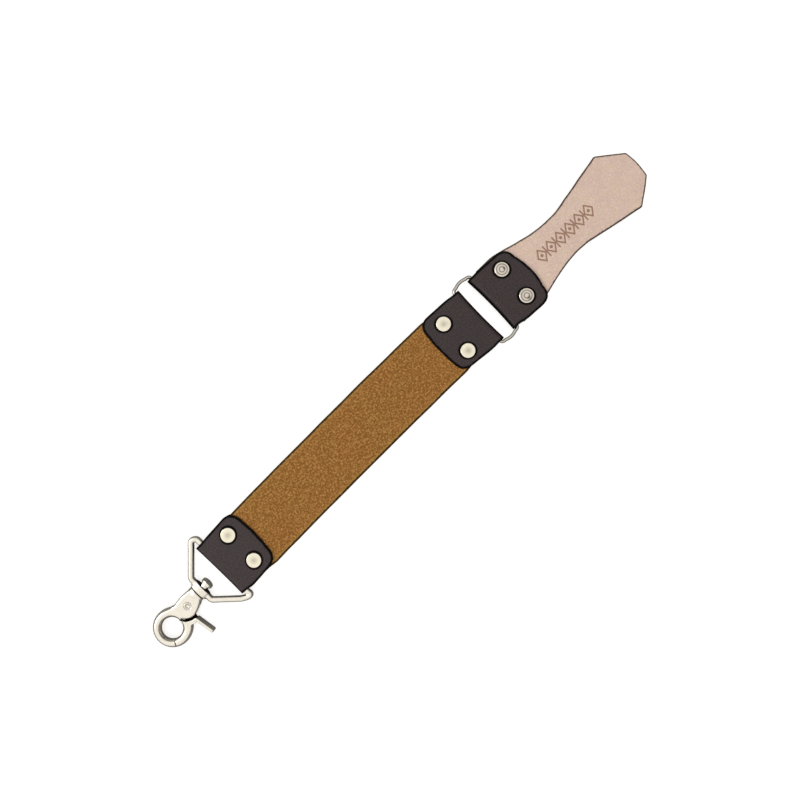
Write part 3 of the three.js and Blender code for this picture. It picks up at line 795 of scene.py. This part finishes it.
def folded_tab(node, wire_x, way, length, width, corners, bow, skew, offset, waist, tilt, taper):
    """A tab is cut flat as two leaves joined at the fold, and then bent round its wire."""
    bend = FOLD_INSIDE + TAB_THICK / 2
    half_fold = bend * math.pi / 2
    half = width / 2
    (along_a, across_a), (along_b, across_b) = corners
    end = length + half_fold
    leaf = [(0, -half)]
    leaf += curve((end - along_b - bow, -half), (end - bow, -half), (end - bow, across_b - half))
    leaf += curve((end - bow, across_b - half), (end + bow, 0), (end - bow, half - across_a))
    leaf += curve((end - bow, half - across_a), (end - bow, half), (end - along_a - bow, half))
    leaf += [(0, half)]
    other_leaf = [(-s, y) for s, y in reversed(leaf)]
    outline = hand_cut(spaced(leaf + other_leaf, 0.9), 0.22, 9, wire_x)
    rivets = [(way * (x - wire_x), y) for x, y, _ in holes_within(*sorted((wire_x, wire_x + way * length)))]

    def lean(x):
        """How far the leaf has drifted sideways at x from the wire."""
        return offset + skew * x

    holes = [
        (leaf_side * (x + half_fold), y - lean(x), RIVET_HOLE) for x, y in rivets for leaf_side in (1, -1)
    ]
    shape = plate(outline, TAB_THICK, 0.62, 0.9, holes, steps=4)
    # pressed sinks the leather round each cap, and with fold it also marks where the leather's material
    # paints shade: round the caps and across the nose of the fold.
    pressed, fold = [], []

    def bent(s, y, t):
        turn = max(-half_fold, min(half_fold, s)) / bend
        flat = max(0.0, abs(s) - half_fold)
        from_rivet = min(math.hypot(flat - x, y + lean(x) - ry) for x, ry in rivets) if flat else 99
        dip = bell(from_rivet - CAP_RADIUS, 1.5) if from_rivet > CAP_RADIUS - 2 else 1
        dip = dip if t > 0 else 0.0
        pressed.append(dip)
        fold.append(0.0 if flat else math.cos(turn))
        wave = unevenness(s + wire_x, y, 11, 3.5) * 0.12 * min(1, flat / 5) if t > 0 else 0.0
        out = bend + t + wave - 0.3 * dip
        near_fold = max(0.0, 1 - flat / 14)
        hollow = (waist * (1 - (y / half) ** 2) + tilt[0] + tilt[1] * y / half) * near_fold
        x = flat - out * math.cos(turn) if flat == 0 else flat
        y *= 1 - taper * flat / length * max(0.0, 2 * abs(y) / half - 1)
        at_fold = bell(flat, FOLD_EASE)
        y *= 1 - FOLD_NARROWS * at_fold
        drift = lean(max(x, 0)) * (1 - FOLD_CENTRES * at_fold)
        return wire_x + way * (x + hollow), y + drift, out * math.sin(turn)

    shape.moved(bent)
    obj = mesh_object(node + "_leather", shape, edge_depth=shape.depth, pressed=pressed, fold=fold)
    return finished(obj, node, DARK_LEATHER)


for node, tab in TABS.items():
    folded_tab(node, **tab)


def handle_outline():
    slope = (WIDE_HALF - FLARE_HALF) / (WIDE_X - FLARE_X)
    edge = [(TANG_X, TANG_HALF)]
    edge += curve(
        (SHOULDER_X, TANG_HALF), (SHOULDER_X + 12, TANG_HALF), (WAIST_X - 27, WAIST_HALF),
        (WAIST_X, WAIST_HALF), steps=30,
    )
    edge += curve(
        (WAIST_X, WAIST_HALF), (WAIST_X + 10, WAIST_HALF), (FLARE_X - 9, FLARE_HALF - 9 * slope),
        (FLARE_X, FLARE_HALF), steps=16,
    )
    edge += [(FLARE_X, FLARE_HALF)]
    edge += [(WIDE_X - 1.2, WIDE_HALF - 0.1)]
    edge += curve((WIDE_X - 1, WIDE_HALF), (WIDE_X, WIDE_HALF), (WIDE_X + 0.8, WIDE_HALF - 0.6), steps=4)
    edge += curve((TIP_X - 0.8, TIP_HALF + 0.6), (TIP_X, TIP_HALF), (TIP_X + 0.2, TIP_HALF - 1), steps=4)
    edge += curve((TIP_X + 0.2, TIP_HALF - 1), (END_X, TIP_HALF / 2), (END_X, 0), steps=8)
    half = [(x, -y) for x, y in edge] + [(END_X, 0)]
    return [(x, y + HANDLE_Y) for x, y in half + edge[::-1]]


def tooling(x, y):
    """How deep the ornament is pressed at a point, from 0 to 1: lozenges with a dot, and short rules."""
    pitch = (TOOLING_X[1] - TOOLING_X[0]) / TOOLING_COUNT
    half_x, half_y = TOOLING_HALF
    place = (x - TOOLING_X[0]) / pitch
    if not 0 <= place < TOOLING_COUNT:
        return 0.0
    from_middle = (place % 1 - 0.5) * pitch
    size = half_x * half_y / math.hypot(half_x, half_y)
    lozenge = abs(abs(from_middle) / half_x + abs(y) / half_y - 1) * size
    dot = max(0.0, math.hypot(from_middle, y) - 0.9)
    rule = math.hypot(pitch / 2 - abs(from_middle), max(0.0, abs(y) - half_y * 0.85))
    if min(place, TOOLING_COUNT - place) < 0.25:
        rule = 9.0
    nearest = min(lozenge, dot + 0.2, rule)
    return max(0.0, 1 - (nearest / TOOLING_STROKE) ** 2) if nearest < TOOLING_STROKE else 0.0


def handle():
    outline = hand_cut(spaced(handle_outline(), 1.0), 0.3, 10, 4.5)
    fine = (TOOLING_X[0], TOOLING_X[1], -7, 7, 0.35)
    shape = plate(outline, HANDLE_THICK, 0.9, 1.1, holes_within(TANG_X, END_X), fine, steps=4)
    pressed = [tooling(x, y - HANDLE_Y) if z > 0 and y * y < 60 else 0.0 for x, y, z in shape.points]
    depths = iter(pressed)
    free_x = TABS["handle_tab"]["wire_x"] + TABS["handle_tab"]["length"]

    def worn(x, y, z):
        into_free = clamped((x - free_x) / 10)
        wave = unevenness(x, y, 22, 2.5) * 0.12 * into_free
        return x, y, z + math.copysign(wave, z) - TOOLING_DEPTH * next(depths)

    shape.moved(worn)
    obj = mesh_object("handle_leather", shape, edge_depth=shape.depth, tooling=pressed)
    return finished(obj, "handle", PALE_LEATHER)


handle()


# ---- Rivets ----

SUNK = 0.2  # how far a cap's rim lies in the leather
# Small knocks in the caps: (cap number, x and y from its middle, radius, depth)
DENTS = (
    (4, 2.0, 4.6, 0.9, 0.25),
    (5, 2.0, -0.6, 1.1, 0.3),
    (6, 0.2, -2.6, 1.5, 0.22),
    (1, -0.6, 0.5, 2.2, 0.08),
)
CAP_RINGS = (4.4, 2.2)  # radii of the two dull rings on the handle's caps


def cap_profile(ringed):
    """From the middle of the dome, out to the rim and under it."""
    crown = CAP_PROUD - 0.06
    rim = [(r, 0.62 + z) for r, z in arc((CAP_RADIUS - 0.55, 0), 0.55, 90, 0, 8)]
    dome = [(r, crown - 0.2 * (r / rim[0][0]) ** 2) for r in [rim[0][0] * k / 16 for k in range(16)]]
    if ringed:
        dome = [(r, z - 0.12 * bell(r - CAP_RINGS[0], 0.45)) for r, z in dome]
    return dome + rim + [(CAP_RADIUS, 0.3), (CAP_RADIUS, -SUNK), (CAP_RADIUS - 0.5, -SUNK)]


def rivet_cap(number, x, y):
    inner, outer, depth = NECK
    ringed = number > 4
    under = [(outer, -SUNK), (outer, -depth), (inner, -depth), (inner, -0.1), (0, -0.1)]
    shape = turned(cap_profile(ringed) + under)
    dents = [dent[1:] for dent in DENTS if dent[0] == number]
    tarnish = []

    def knocked(px, py, pz):
        from_middle = math.hypot(px, py)
        tone = 0.4 * bell(from_middle, 2.8)
        if ringed:
            tone = 0.18 + 0.7 * sum(bell(from_middle - r, 0.5) for r in CAP_RINGS)
        top = pz > 0
        for dent_x, dent_y, radius, deep in dents:
            share = bell(math.hypot(px - dent_x, py - dent_y), radius)
            tone += 0.6 * share * ringed
            pz -= deep * share * top
        tarnish.append(min(0.95, tone) if from_middle < CAP_RADIUS - 0.5 else 0.0)
        return px + x, py + y, pz + FOLD_OUTSIDE + LAYER_GAP

    shape.moved(knocked)
    obj = mesh_object(f"rivet_cap_{number}_metal", shape, tarnish=tarnish)
    return finished(obj, f"rivet_cap_{number}", GREY_NICKEL if ringed else CAP_NICKEL, crease=35)


def rivet_post(number, x, y):
    top = 2 * FOLD_OUTSIDE - 0.4
    back_cap = [(radius, -height) for radius, height in reversed(cap_profile(False))]
    profile = [(0, top), (POST_RADIUS - 0.3, top), (POST_RADIUS, top - 0.3), (POST_RADIUS, SUNK)] + back_cap
    shape = turned(profile).moved(lambda px, py, pz: (px + x, py + y, pz - FOLD_OUTSIDE - LAYER_GAP))
    obj = mesh_object(f"rivet_post_{number}_metal", shape)
    return finished(obj, f"rivet_post_{number}", CAP_NICKEL, crease=35)


for number, (x, y) in enumerate(RIVETS, 1):
    rivet_cap(number, x, y)
    rivet_post(number, x, y)


# ---- Wire ----


def connecting_ring():
    middle = (RING_LOW_X + RING_HIGH_X) / 2
    half = (RING_HIGH_X - RING_LOW_X) / 2
    inset_x = half - RING_CORNER
    peak = 2 * RING_PEAK_Y - RING_CORNER_Y
    end = [(half, -RING_STRAIGHT), (half, 0)]
    end += curve((half, RING_STRAIGHT), (half, RING_CORNER_Y), (inset_x, RING_CORNER_Y), steps=8)
    end += curve((inset_x, RING_CORNER_Y), (0, peak), (-inset_x, RING_CORNER_Y), steps=16)
    end += curve((-inset_x, RING_CORNER_Y), (-half, RING_CORNER_Y), (-half, RING_STRAIGHT), steps=8)
    path = end + [(-x, -y) for x, y in end]
    shape = tube([(x + middle, y, 0) for x, y in path], RING_WIRE)
    return finished(mesh_object("connecting_ring_wire", shape), "connecting_ring", SHADED_WIRE_NICKEL, crease=60)


connecting_ring()


def rounded_polygon(corners, steps=12):
    """A closed polygon, listed anticlockwise as (x, y, radius), with an arc at each corner."""
    points = []
    for index, (x, y, radius) in enumerate(corners):
        corner = Vector((x, y))
        back = (Vector(corners[index - 1][:2]) - corner).normalized()
        ahead = (Vector(corners[(index + 1) % len(corners)][:2]) - corner).normalized()
        opening = back.angle(ahead)
        centre = corner + (back + ahead).normalized() * (radius / math.sin(opening / 2))
        start = corner + back * (radius / math.tan(opening / 2)) - centre
        turn = math.pi - opening
        for step in range(steps + 1):
            angle = turn * step / steps
            along = centre.x + start.x * math.cos(angle) - start.y * math.sin(angle)
            across = centre.y + start.x * math.sin(angle) + start.y * math.cos(angle)
            points.append((along, across))
    return points


def oval_plate(span, halves, rounding):
    """An oval plate across the strop, between two places along it."""
    half_y, half_z = halves
    outline = [(half_y * x, half_z * y) for x, y in circle((0, 0), 1, 64)]
    shape = plate(outline, span[1] - span[0], rounding, 0.8, steps=4)
    middle = (span[0] + span[1]) / 2
    return shape.moved(lambda px, py, pz: (pz + middle, px, py))


def axial_bar(radius, low, high):
    return along_x(cylinder((0, 0), radius, low, high))


def bail():
    loop = rounded_polygon(
        [
            (BAIL_BAR_X, -BAIL_PEAK_Y, BAIL_BEND_R),
            (BAIL_BAR_X, BAIL_PEAK_Y, BAIL_BEND_R),
            (BAIL_FRONT_X, SWIVEL_Y + BAIL_KNEE_Y, BAIL_KNEE_R),
            (BAIL_FRONT_X, SWIVEL_Y - BAIL_KNEE_Y, BAIL_KNEE_R),
        ]
    )

    def askew(x, y):
        """Beyond the tab the bends lie off along the strop; the bar in the tab stays straight."""
        share = clamped((abs(y) - BAIL_STRAIGHT) / 4)
        return x + BAIL_ASKEW[y > 0] * share

    wire = tube([(askew(x, y), y, 0) for x, y in spaced(loop, 1.5)], BAIL_WIRE + 0.03, 32)
    collar = oval_plate(COLLAR_X, COLLAR_HALF, 0.9).moved(lambda x, y, z: (x, y + SWIVEL_Y, z))
    bore = along_x(cylinder((0, 0), COLLAR_BORE, COLLAR_X[0] - 3, COLLAR_X[1] + 3), SWIVEL_Y)

    def in_the_recess(x, y, z):
        """The collar's face towards the stud's head is painted black: painted shade and painted dark
        reflection in the recess beside the stud's shank.
        """
        return x > COLLAR_X[1] - 0.35 and abs(y - SWIVEL_Y) < BAIL_KNEE_Y - 3.5 and abs(z) < 4.4

    return casting("bail", wire, added=[collar], cut=[bore], painted_black_shade=in_the_recess)


bail()


def swivel_stud():
    start, end = STUD_HEAD_X
    edge = 0.7
    head = [(0, end), (STUD_HEAD_RADIUS * 0.45, end)]
    head += [(r, z) for r, z in arc((STUD_HEAD_RADIUS - edge, end - edge), edge, 90, 0, 6)]
    head += [(r, z) for r, z in arc((STUD_HEAD_RADIUS - 0.4, start + 0.4), 0.4, 0, -90, 4)]
    boss = [(STUD_BOSS, start), (STUD_BOSS - 0.2, COLLAR_X[1] + 0.4)]
    shank = [(STUD_RADIUS, COLLAR_X[1] + 0.3), (STUD_RADIUS, STUD_INNER_X), (0, STUD_INNER_X)]
    shape = along_x(turned(head + boss + shank, 64))
    obj = mesh_object("swivel_stud_metal", shape)
    return finished(shifted(obj, SWIVEL_Y), "swivel_stud", NICKEL, crease=35)


swivel_stud()


# ---- Snap hook ----


def hook_outline():
    """The cast outline, inside the silhouette by the rounding of its edges, anticlockwise."""
    outer = HOOK_OUTER - HOOK_ROUND
    inner = EYE_RADIUS + HOOK_ROUND
    cheek = CHEEK_RADIUS - HOOK_ROUND
    nose_end = SPLIT_DEGREES + 12
    body_end = FLANGE_X[0] + 0.5
    ring = arc(RING_CENTRE, outer, nose_end, NECK_LEAVES_RING, 50)
    lead = (HOOK_NECK[0] - NECK_LEAD[0], HOOK_NECK[1] + NECK_LEAD[1])
    neck = curve(ring[-1], lead, HOOK_NECK)[1:]
    back = curve(HOOK_NECK, ((HOOK_NECK[0] + body_end) / 2, BACK_HIGH), (body_end, BODY_END_Y[1]))
    belly = curve((body_end, BODY_END_Y[0]), BELLY, (CHEEK_CENTRE[0], CHEEK_CENTRE[1] - cheek))
    cheeks = arc(CHEEK_CENTRE, cheek, 270, 201, 16)
    eye = arc(EYE_CENTRE, inner, 11, nose_end, 50)
    outline = ring + neck + back + [(body_end, BODY_END_Y[1])] + belly + cheeks + eye
    return outline[::-1]


def ring_section(x, y, z):
    """The flat casting becomes nearly round in section where it forms the ring."""
    middle, half = (HOOK_OUTER + EYE_RADIUS) / 2, (HOOK_OUTER - EYE_RADIUS) / 2
    off = math.hypot(x - RING_CENTRE[0], y - RING_CENTRE[1]) - middle
    in_ring = clamped((RING_BEGINS_X - x) / 7)
    drop = 1 - math.sqrt(1 - RING_ROUNDNESS * min(1.0, abs(off) / half) ** 2)
    return z * (1 - in_ring * drop)


def ring_wedge(start, end):
    return prism(sector(RING_CENTRE, 3, 30, start, end), -15, 15)


def trigger_slot():
    sweep = prism(sector(PIVOT, 0.5, 20, 186, 318), -SLOT_HALF, SLOT_HALF)
    return [cylinder(PIVOT, HUB_RADIUS + 0.6, -SLOT_HALF, SLOT_HALF), sweep]


def hook_body():
    cast = plate(inset(spaced(hook_outline(), 0.8), -HOOK_ROUND), HOOK_THICK, HOOK_ROUND, 0.8, steps=8)
    flange = oval_plate(FLANGE_X, FLANGE_HALF, 0.6)
    stud_bore = axial_bar(STUD_BORE, STUD_INNER_X - 0.3, FLANGE_X[1] + 2)
    half = HOOK_THICK / 2
    seats = [
        cylinder(PIVOT, PIN_HEAD_RADIUS + 0.1, side * half - PIN_HEAD_SEAT, side * half + PIN_HEAD_SEAT)
        for side in (1, -1)
    ]
    pin_bore = cylinder(PIVOT, PIN_BORE, -9, 9)
    return casting(
        "hook_body",
        cast,
        cut=[ring_wedge(SPLIT_DEGREES, SPLIT_DEGREES + 50)],
        added_last=[flange],
        cut_last=[stud_bore, *trigger_slot(), pin_bore, *seats],
        across=SWIVEL_Y,
        reshape=ring_section,
    )


hook_body()


def gate():
    gate_end = SPLIT_DEGREES - 12
    outer = arc(RING_CENTRE, HOOK_OUTER - GATE_ROUND, gate_end, 322, 32)
    inner = arc(EYE_CENTRE, EYE_RADIUS + GATE_ROUND, 348, gate_end, 36)
    return plate(inset(spaced(outer + inner, 0.8), -GATE_ROUND), GATE_THICK, GATE_ROUND, 0.8, steps=8)


def lever():
    """A blade with a rounded end, wide across the strop's thickness."""
    root, tip = Vector(LEVER_ROOT), Vector(LEVER_TIP)
    along = (tip - root).normalized()
    length = (tip - root).length
    half = LEVER_WIDE / 2
    corner = 1.6
    outline = [(0, -half)]
    outline += arc((length - corner, corner - half), corner, -90, 0, 8)
    outline += arc((length - corner, half - corner), corner, 0, 90, 8)
    outline += [(0, half)]
    blade = plate(outline, LEVER_THICK, 0.6, 0.8, steps=4)

    def placed(s, w, t):
        return root.x + along.x * s + along.y * t, root.y + along.y * s - along.x * t, w

    return blade.moved(placed)


def trigger():
    low, high = HUB_Z
    ring_side = prism(circle(CHEEK_CENTRE, YOKE_INNER, 96), -10, 10)
    eye = prism(circle(EYE_CENTRE, EYE_RADIUS, 96), -10, 10)
    half = YOKE_THICK / 2
    yoke = prism(sector(CHEEK_CENTRE, YOKE_INNER, YOKE_OUTER, 200, 267), -half, half)
    web = prism(sector(PIVOT, 2.5, YOKE_INNER + 1, 212, 262), low, high)

    def between_the_cheeks(x, y, z):
        """The hub and the web lie in the shade of the cheeks, and so does the yoke's inner wall."""
        from_cheeks = math.hypot(x - CHEEK_CENTRE[0], y - CHEEK_CENTRE[1])
        return from_cheeks < YOKE_INNER + (0.5 if z < 2.4 else 0.15)

    return casting(
        "trigger",
        gate(),
        cut=[ring_wedge(SPLIT_DEGREES - 50, SPLIT_DEGREES + GATE_GAP_DEGREES), ring_side],
        added_last=[yoke, lever(), web, cylinder(PIVOT, HUB_RADIUS, low, high)],
        cut_last=[eye, cylinder(PIVOT, PIN_BORE, -9, 9)],
        across=SWIVEL_Y,
        reshape=ring_section,
        painted_black_shade=between_the_cheeks,
    )


trigger()


def trigger_pin():
    half = HOOK_THICK / 2
    seat = half - PIN_HEAD_SEAT + LAYER_GAP
    head = [(r, half - 0.45 * bell(r, 1.5)) for r in (0, 0.4, 0.8, 1.2, 1.6, 2.0, 2.4)]
    head += arc((PIN_HEAD_RADIUS - 0.3, half - 0.3), 0.3, 90, 0, 4)
    side = head + [(PIN_HEAD_RADIUS, seat), (PIN_RADIUS, seat)]
    profile = side + [(r, -z) for r, z in reversed(side)]
    shape = turned(profile, 64)
    tarnish = [0.6 * bell(math.hypot(x, y) - 1.6, 0.7) for x, y, _ in shape.points]
    shape.moved(lambda x, y, z: (x + PIVOT[0], y + PIVOT[1], z))
    obj = mesh_object("trigger_pin_metal", shape, tarnish=tarnish)
    return finished(shifted(obj, SWIVEL_Y), "trigger_pin", NICKEL, crease=40)


trigger_pin()


def trigger_spring():
    """A torsion spring round the pin, with one leg on the yoke and one in the spine."""
    leg_share = 0.12
    path = []
    for step in range(241):
        share = step / 240
        turn = clamped((share - leg_share) / (1 - 2 * leg_share))
        angle = math.radians(SPRING_START + turn * SPRING_SWEEP)
        yoke_leg = max(0, leg_share - share) / leg_share
        spine_leg = max(0, share - 1 + leg_share) / leg_share
        reach = SPRING_RADIUS + yoke_leg * SPRING_YOKE_LEG + spine_leg * SPRING_SPINE_LEG
        height = SPRING_LOW_Z + SPRING_RISE * turn
        path.append((PIVOT[0] + reach * math.cos(angle), PIVOT[1] + reach * math.sin(angle), height))
    obj = mesh_object("trigger_spring_wire", tube(path, SPRING_WIRE, 12, closed=False))
    return finished(shifted(obj, SWIVEL_Y), "trigger_spring", SPRING_STEEL, crease=60)


trigger_spring()


# ---- Stage, light and camera ----

FLOOR_SIZE = 6.0  # metres
CONTACT_SHADE = 7  # millimetres that the shade round the strop reaches
CAMERA_PLACE = (0.0027, -0.0043, 0.626)  # metres, straight above the strop
CAMERA_ROLL = -44.27  # degrees: the strop runs up to the right in the picture
CAMERA_LENS = 33.6
SKY_AXIS = (-0.36, 0.08, 0.93)  # the tent of light is brightest round here, over the hook's end
PAPER_WHITE = 1.06  # how bright the empty background looks


def floor():
    """A grey sheet in the metal's reflections, which gives the metal its dark contours, and to the camera
    clear paper with a painted contact shade.

    Clear, because at some poses the hook or the handle hangs below it, over the edge of a table.
    """
    bpy.ops.mesh.primitive_plane_add(size=FLOOR_SIZE, location=(0, 0, 0))
    sheet = bpy.context.object
    sheet.name = "floor"
    s = Surface("floor", Base_Color=(0.22, 0.22, 0.22, 1), Roughness=0.9, Specular_IOR_Level=0.0)
    rays = s.node("LightPath", {}).outputs
    from_below = s.node("NewGeometry", {}).outputs["Backfacing"]
    clear = s.maths("MAXIMUM", s.maths("MAXIMUM", rays["Is Camera Ray"], rays["Is Shadow Ray"]), from_below)
    # Painted contact shadow: near the strop the AO dims the clear floor as the camera sees it.
    near = s.node("AmbientOcclusion", {"Distance": CONTACT_SHADE * MM}).outputs["AO"]
    shade = s.blended(s.ramp(near, 0.2, 0.9), (0.78, 0.78, 0.78, 1), (1, 1, 1, 1))
    shade = s.blended(rays["Is Camera Ray"], (1, 1, 1, 1), shade)
    see_through = s.node("BsdfTransparent", {"Color": shade}).outputs[0]
    mixed = s.node("MixShader", {0: clear, 1: s.shader.outputs[0], 2: see_through}).outputs[0]
    s.tree.links.new(mixed, s.tree.nodes["Material Output"].inputs["Surface"])
    sheet.data.materials.append(s.material)


def sky():
    """A soft tent of light, bright overhead and dim near the horizon beyond the handle."""
    world = bpy.data.worlds.new("tent")
    bpy.context.scene.world = world
    s = Nodes(world)
    towards = {0: s.places["Generated"], 1: SKY_AXIS}
    near_axis = s.node("VectorMath", towards, operation="DOT_PRODUCT").outputs["Value"]
    level = s.ramp(near_axis, 0.05, 0.75, 0.12, 1.15)
    paper = s.maths("MULTIPLY", s.node("LightPath", {}).outputs["Is Camera Ray"], PAPER_WHITE)
    background = s.tree.nodes["Background"]
    background.inputs["Color"].default_value = (1.0, 0.99, 0.97, 1)
    s.tree.links.new(s.maths("MAXIMUM", paper, level), background.inputs["Strength"])


def key_light():
    """One broad soft box from above the hook's side."""
    data = bpy.data.lights.new("key", "AREA")
    data.shape = "DISK"
    data.size = 0.9
    data.energy = 12.0
    data.specular_factor = 0.4
    box = linked("key", data)
    box.location = (-1.0, 1.0, 1.0)
    box.rotation_euler = Vector(box.location).to_track_quat("Z", "Y").to_euler()


def camera():
    data = bpy.data.cameras.new("camera")
    data.lens = CAMERA_LENS
    data.sensor_width = 36
    data.clip_start, data.clip_end = 0.01, 50
    eye = linked("camera", data)
    eye.location = CAMERA_PLACE
    eye.rotation_euler = (0, 0, math.radians(CAMERA_ROLL))
    bpy.context.scene.camera = eye


floor()
sky()
key_light()
camera()
bpy.context.scene.view_settings.view_transform = "Standard"
